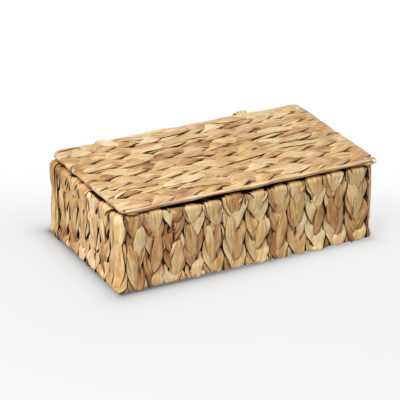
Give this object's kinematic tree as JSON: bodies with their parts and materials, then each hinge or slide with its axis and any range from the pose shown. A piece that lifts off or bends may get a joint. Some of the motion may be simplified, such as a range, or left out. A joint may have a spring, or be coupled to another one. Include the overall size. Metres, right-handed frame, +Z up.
{
  "type": "woven lidded box",
  "caption": "Low rectangular storage box of flat plaited fibre braids on hidden wire frames, with a flat lid lashed to the back rim by two wound cords.",
  "frame": {"origin": "middle of the underside of the base, on the surface that the box stands on", "axes": "+X to the right along the front, +Y from the front to the hinged back, +Z up"},
  "size_m": [0.3575, 0.22, 0.1153],
  "materials": {
    "wall_fibre": "dull dried stem fibre with lengthwise wrinkles",
    "lid_fibre": "dull dried stem fibre with lengthwise wrinkles",
    "base_fibre": "dull dried stem fibre",
    "edge_fibre": "smooth pale stem fibre",
    "lashing_fibre": "twisted fibre cord",
    "frame_wire": "dark painted round wire"
  },
  "bodies": {
    "box_body": {"front_wall_braid_01": "wall_fibre", "front_wall_braid_02": "wall_fibre", "front_wall_braid_03": "wall_fibre", "front_wall_braid_04": "wall_fibre", "front_wall_braid_05": "wall_fibre", "front_wall_braid_06": "wall_fibre", "front_wall_braid_07": "wall_fibre", "front_wall_braid_08": "wall_fibre", "front_wall_braid_09": "wall_fibre", "front_wall_braid_10": "wall_fibre", "front_wall_braid_11": "wall_fibre", "front_wall_braid_12": "wall_fibre", "back_wall_braid_01": "wall_fibre", "back_wall_braid_02": "wall_fibre", "back_wall_braid_03": "wall_fibre", "back_wall_braid_04": "wall_fibre", "back_wall_braid_05": "wall_fibre", "back_wall_braid_06": "wall_fibre", "back_wall_braid_07": "wall_fibre", "back_wall_braid_08": "wall_fibre", "back_wall_braid_09": "wall_fibre", "back_wall_braid_10": "wall_fibre", "back_wall_braid_11": "wall_fibre", "back_wall_braid_12": "wall_fibre", "left_wall_braid_1": "wall_fibre", "left_wall_braid_2": "wall_fibre", "left_wall_braid_3": "wall_fibre", "left_wall_braid_4": "wall_fibre", "left_wall_braid_5": "wall_fibre", "left_wall_braid_6": "wall_fibre", "left_wall_braid_7": "wall_fibre", "right_wall_braid_1": "wall_fibre", "right_wall_braid_2": "wall_fibre", "right_wall_braid_3": "wall_fibre", "right_wall_braid_4": "wall_fibre", "right_wall_braid_5": "wall_fibre", "right_wall_braid_6": "wall_fibre", "right_wall_braid_7": "wall_fibre", "base_braid_1": "base_fibre", "base_braid_2": "base_fibre", "base_braid_3": "base_fibre", "base_braid_4": "base_fibre", "base_braid_5": "base_fibre", "base_braid_6": "base_fibre", "base_braid_7": "base_fibre", "body_wire_frame": "frame_wire", "hinge_lashing_left": "lashing_fibre", "hinge_lashing_right": "lashing_fibre"},
    "lid": {"lid_braid_1": "lid_fibre", "lid_braid_2": "lid_fibre", "lid_braid_3": "lid_fibre", "lid_braid_4": "lid_fibre", "lid_braid_5": "lid_fibre", "lid_braid_6": "lid_fibre", "lid_braid_7": "lid_fibre", "lid_front_edge_strand": "edge_fibre", "lid_back_edge_strand": "edge_fibre", "lid_wire_frame": "frame_wire"}
  },
  "joints": [
    {"name": "lid_hinge", "type": "hinge", "parent": "box_body", "child": "lid", "pos_m": [0, 0.1029, 0.10275], "axis": [-1, 0, 0], "range_deg": [0, 110]}
  ]
}
